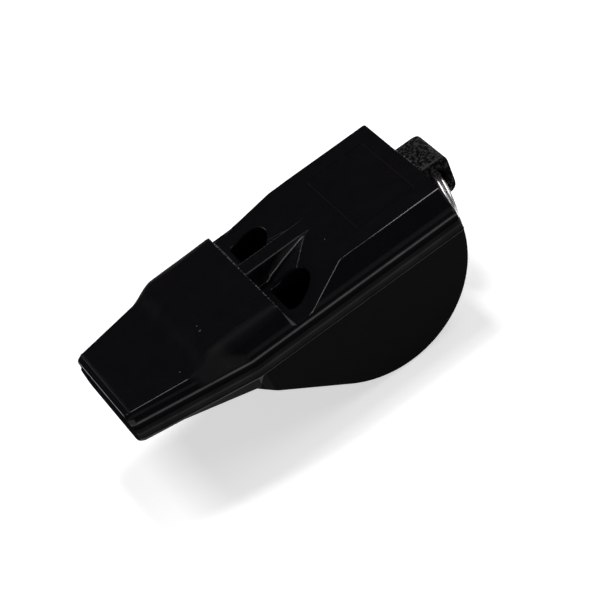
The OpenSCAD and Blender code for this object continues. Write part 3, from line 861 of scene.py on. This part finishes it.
def plastic(
    name, colour, roughness, specular=0.0, rim_shine=False, wave=0, grain=10, grain_size=6000,
    specks=0.0, hairlines=0.1, glint_speckle=0.0, painted_sheen=False,
):
    """Moulded black plastic with its grain, its dust, the marks of handling, a painted sheen and painted
    glints.

    wave and grain are depths in micrometres. specks is the share of places that hold a speck of dust, and
    glint_speckle the level of a rough face's pale grains, which are painted glints. rim_shine lets the
    rim's edges, worn by handling, shine. painted_sheen paints the colour greyer where soft reflections
    fall.
    """
    material, tree, shader = new_material(name)
    shader.inputs["Base Color"].default_value = (*colour, 1)
    shader.inputs["Specular IOR Level"].default_value = specular
    if rim_shine:
        tree.links.new(placed(tree, RIM)["Shine"], shader.inputs["Coat Weight"])
        shader.inputs["Coat Roughness"].default_value = roughness
    surface = placed(tree, SKIN, {
        "Wave depth": wave * MICROMETRE, "Grain depth": grain * MICROMETRE, "Grain size": grain_size,
    })
    handling = placed(tree, DUST, {"Specks": specks, "Hairlines": hairlines})
    cloud = math_node(tree, "MULTIPLY", math_node(tree, "SUBTRACT", surface["Cloud"], 0.5), CLOUDINESS)
    rough = math_node(tree, "ADD", math_node(tree, "ADD", cloud, roughness), handling["Rub"])
    if specks:
        tint = blend(tree, handling["Dust"], colour, DUST_COLOUR)
        rough = math_node(tree, "ADD", rough, math_node(tree, "MULTIPLY", handling["Dust"], 0.4))
        # Painted glints: the pale grains are painted in the colour and made smoother
        if glint_speckle:
            light = placed(tree, GLINT_SPECKLE, {"Size": grain_size})["Light"]
            tint = blend(tree, light, tint, (glint_speckle, glint_speckle, glint_speckle))
            shade = math_node(tree, "SUBTRACT", 0.5, light)
            rough = math_node(tree, "ADD", rough, math_node(tree, "MULTIPLY", shade, 0.5))
        # Painted sheen: the colour is made greyer where soft reflections fall
        if painted_sheen:
            tint = blend(tree, placed(tree, PAINTED_SHEEN)["Painted sheen"], tint, PAINTED_SHEEN_COLOUR)
        tree.links.new(tint, shader.inputs["Base Color"])
    rough = math_node(tree, "MAXIMUM", rough, LEAST_ROUGHNESS, clamp=True)
    tree.links.new(rough, shader.inputs["Roughness"])
    tree.links.new(surface["Normal"], shader.inputs["Normal"])
    return material


def nickel():
    """Nickel plating with fine drawing lines along the wire."""
    material, tree, shader = new_material("nickel plating")
    shader.inputs["Metallic"].default_value = 0.9
    surface = placed(tree, SKIN, {
        "Wave depth": 10 * MICROMETRE, "Grain depth": 5 * MICROMETRE, "Grain size": 14000,
    })
    tint = blend(tree, surface["Cloud"], (0.86, 0.85, 0.83), (0.97, 0.96, 0.94))
    tree.links.new(tint, shader.inputs["Base Color"])
    rub = placed(tree, DUST, {"Specks": 0.0, "Hairlines": 0.5})["Rub"]
    tree.links.new(math_node(tree, "ADD", rub, 0.24, clamp=True), shader.inputs["Roughness"])
    tree.links.new(surface["Normal"], shader.inputs["Normal"])
    return material


GLOSS_COLOUR = (0.0031, 0.0027, 0.0037)
GLOSS = plastic(
    "polished black plastic", GLOSS_COLOUR, 0.17, specular=0.2, wave=30, grain=2, grain_size=9000,
    specks=0.14, painted_sheen=True,
)
SOFT = plastic(
    "softer plastic of the shoulders", GLOSS_COLOUR, 0.5, specular=0.03, wave=30, grain=4, grain_size=9000,
    specks=0.12, painted_sheen=True,
)
EDGE = plastic(
    "rim plastic", (0.0032, 0.0032, 0.0033), 0.3, rim_shine=True, wave=20, grain=4, grain_size=7000,
    specks=0.02,
)
SATIN = plastic(
    "satin black plastic", (0.0036, 0.0036, 0.0035), 0.45, specular=0.05, wave=20, grain=6,
    grain_size=7000, specks=0.02,
)
MATTE = plastic(
    "matte black plastic", (0.004, 0.004, 0.004), 0.6, specular=0.025, wave=20, grain=7,
    grain_size=7000, specks=0.015, hairlines=0.05,
)
ERODED = plastic(
    "spark eroded black plastic", (0.001, 0.001, 0.0009), 0.35, specular=0.02, wave=50, grain=250,
    grain_size=3600, specks=0.1, hairlines=0.2, glint_speckle=0.03,
)
# Its pale grains are painted glints along the rough edge
FLASH = plastic(
    "rough parting edge", (0.003, 0.003, 0.003), 0.35, specular=0.03, grain=300, grain_size=2400,
    specks=0.1, glint_speckle=0.1,
)
# Painted highlight: a pale colour on the lip's rim, the spine's top edges and the lug's top side edges
# stands for the bright lines of light along them
PAINTED_EDGE_HIGHLIGHT = plastic("edge with painted highlight", (0.024, 0.023, 0.025), 0.5, specular=0.18, hairlines=0.2)
# Painted highlight: a pale colour in the fold at the spine's foot stands for the bright line of light along
# it
PAINTED_FOLD_HIGHLIGHT = plastic("fold with painted highlight", (0.2, 0.195, 0.2), 0.8, hairlines=0.0)
DULL = plastic("dull black plastic", (0.0105, 0.0105, 0.0107), 0.7, hairlines=0.0)
TRAY = plastic("tray plastic", (0.003, 0.003, 0.003), 0.4, specular=0.1, wave=30, grain=6)


def finish_of_upper(centre):
    """The finish at a place on the upper moulding."""
    x, y, z = drawn(centre)
    out = abs(y)
    # The lip's rim edge gets the painted edge highlight
    if x < 0.9 and -2.8 < z < -2.1 and out > rim_y(x) - 0.4:
        return PAINTED_EDGE_HIGHLIGHT
    if z < -2.35 and out > rim_y(x) - 0.2 and x < BACK_X - 0.3:
        return EDGE
    if z > -0.22 and NOTCH_X - 0.14 < x < NOTCH_X + 0.02:
        return FLASH
    # The fold at the spine's foot gets a painted highlight
    beside_spine = FLOOR_X + 1.2 < x < DECK_X - 0.9 and SPINE_Y < out < SPINE_Y + 0.25
    fold = surface_z(x) + facet_at(x)[1]
    if beside_spine and fold - 0.03 < z < fold + 0.13:
        return PAINTED_FOLD_HIGHLIGHT
    # The spine's top edges get the painted edge highlight
    on_spine_edge = SPINE_Y - 0.1 < out < SPINE_Y + 0.03 and NOTCH_X + 0.2 < x < DECK_X - 1.2
    if z > -0.12 and on_spine_edge:
        return PAINTED_EDGE_HIGHLIGHT
    # The whole of the sides as far as the top of the rise, and behind it only the shoulders
    low = -2.15 if x < COVER_X else -1.2
    on_sides = 8.2 < x < NOTCH_X - 0.2 and edge_y(x) - 1.6 < out < rim_y(x) - 0.45
    if on_sides and low < z < top_z(x) - 0.001:
        return SOFT
    near_panel = PANEL_X[0] - 0.5 < x < PANEL_X[1] + 0.4 and out < PANEL_Y + 0.2
    in_panel_line = near_panel and -0.1 < z < -0.005
    in_mouth = x < 0.3 and z < -1.95
    return DULL if in_panel_line or in_mouth else GLOSS


def finish_of_lower(centre):
    """The finish at a place on the lower moulding."""
    x, y, z = drawn(centre)
    out = abs(y)
    if x > BACK_X - 0.3 and out < LUG_Y + 0.05:
        on_top = z > LUG_TOP_Z - 0.15
        if on_top and x < LUG_TOP_X + 0.01:
            return FLASH
        # The lug's top side edges get the painted edge highlight
        return PAINTED_EDGE_HIGHLIGHT if on_top and out > LUG_Y - 0.14 and x < LUG_X - 0.6 else ERODED
    if x < 0.35:
        return DULL
    # The drum below the mouthpiece's belly, and all that is under the rim behind the mouthpiece
    if z < -6.7 or (z < RIM_BOTTOM_Z - 0.02 and x > 16):
        return MATTE
    return EDGE if out > rim_y(x) - 0.2 and x < BACK_X - 0.5 else SATIN


def dress(obj, materials, body, node, finish=None):
    obj.data.materials.clear()
    for material in materials:
        obj.data.materials.append(material)
    for face in obj.data.polygons:
        face.material_index = materials.index(finish(face.center)) if finish else 0
    smooth(obj)
    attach(obj, body)
    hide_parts(node)


upper_finishes = (GLOSS, EDGE, FLASH, PAINTED_FOLD_HIGHLIGHT, DULL, PAINTED_EDGE_HIGHLIGHT, SOFT)
dress(make_upper(), upper_finishes, "whistle", "upper_shell", finish_of_upper)
lower_finishes = (EDGE, SATIN, MATTE, ERODED, FLASH, PAINTED_EDGE_HIGHLIGHT, DULL)
dress(make_lower(), lower_finishes, "whistle", "lower_body", finish_of_lower)
dress(make_ring(), (nickel(),), "ring", "split_ring")

for tray_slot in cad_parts["windway_insert"].material_slots:
    tray_slot.material = TRAY

# Studio


def floor_material():
    """Pale paper. The camera and glossy rays see it as white paper with the whistle's shadow."""
    material, tree, shader = new_material("pale paper")
    shader.inputs["Base Color"].default_value = (0.86, 0.86, 0.86, 1)
    shader.inputs["Roughness"].default_value = 0.9
    shader.inputs["Specular IOR Level"].default_value = 0.0
    shader.inputs["Emission Color"].default_value = (1, 1, 1, 1)
    rays = add(tree, "ShaderNodeLightPath").outputs
    seen = math_node(tree, "MAXIMUM", rays["Is Camera Ray"], rays["Is Glossy Ray"])
    seen = math_node(tree, "MAXIMUM", seen, rays["Is Transmission Ray"])
    tree.links.new(math_node(tree, "MULTIPLY", seen, 0.6), shader.inputs["Emission Strength"])
    return material


def make_floor():
    mesh = bpy.data.meshes.new("floor")
    reach, gap = 1.6, 0.0002
    corners = [(-reach, -reach, 0), (reach, -reach, 0), (reach, reach, 0), (-reach, reach, 0)]
    mesh.from_pydata(corners, [], [(0, 1, 2, 3)])
    mesh.materials.append(floor_material())
    floor = bpy.data.objects.new("floor", mesh)
    floor.location.z = -gap
    bpy.context.scene.collection.objects.link(floor)


def make_world():
    """Dim above, with a pale band along the horizon like the studio's paper."""
    world = bpy.data.worlds.new("studio")
    bpy.context.scene.world = world
    world.use_nodes = True
    tree = world.node_tree
    ramp = add(tree, "ShaderNodeValToRGB")
    paper, dark = ramp.color_ramp.elements
    paper.position, paper.color = 0.12, (0.9, 0.9, 0.9, 1)
    dark.position, dark.color = 0.28, (0.022, 0.02, 0.026, 1)
    height = axes(tree, add(tree, "ShaderNodeTexCoord").outputs["Generated"])[2]
    tree.links.new(height, ramp.inputs["Fac"])
    tree.links.new(ramp.outputs["Color"], tree.nodes["Background"].inputs["Color"])


def softbox(name, spot, size, level, tilt):
    """An area lamp with its sides along the whistle, giving a pale face below it about this level."""
    lamp = bpy.data.lights.new(name, "AREA")
    lamp.shape = "RECTANGLE"
    lamp.size, lamp.size_y = size
    obj = bpy.data.objects.new(name, lamp)
    obj.location = spot
    obj.rotation_euler = (*tilt, 0)
    lamp.energy = level * math.pi**2 * Vector(spot).length_squared
    bpy.context.scene.collection.objects.link(obj)


def make_camera():
    """The photograph's view: fitted direction, roll and distance, for a square picture."""
    azimuth, elevation, roll = (math.radians(a) for a in (8.189, 34.111, -31.35))
    target, distance = Vector((0.0012, -0.00009, 0.0079)), 0.35436
    level = math.cos(elevation)
    back = Vector((-math.sin(azimuth) * level, -math.cos(azimuth) * level, math.sin(elevation)))
    right = (-back).cross(Vector((0, 0, 1))).normalized()
    up = right.cross(-back)
    across = right * math.cos(roll) + up * math.sin(roll)
    upward = up * math.cos(roll) - right * math.sin(roll)
    lens = bpy.data.cameras.new("camera")
    lens.lens = 181.1
    lens.sensor_width = 36
    lens.clip_start = 0.01
    camera = bpy.data.objects.new("camera", lens)
    turn = Matrix((across, upward, back)).transposed().to_4x4()
    camera.matrix_world = Matrix.Translation(target + back * distance) @ turn
    bpy.context.scene.collection.objects.link(camera)
    bpy.context.scene.camera = camera


make_floor()
make_world()
softbox("rear softbox", (0.113, 0.12, 0.4), (0.07, 0.16), 0.34, tilt=(-0.28, 0.25))
softbox("front softbox", (-0.1, 0.16, 0.38), (0.2, 0.1), 0.33, tilt=(-0.38, -0.27))
softbox("low fill", (-0.08, -0.55, 0.14), (0.5, 0.24), 0.16, tilt=(1.32, 0.0))
softbox("side card", (0.28, -0.12, 0.4), (0.16, 0.42), 0.18, tilt=(0.29, 0.61))
make_camera()

view = bpy.context.scene.view_settings
view.view_transform = "Standard"
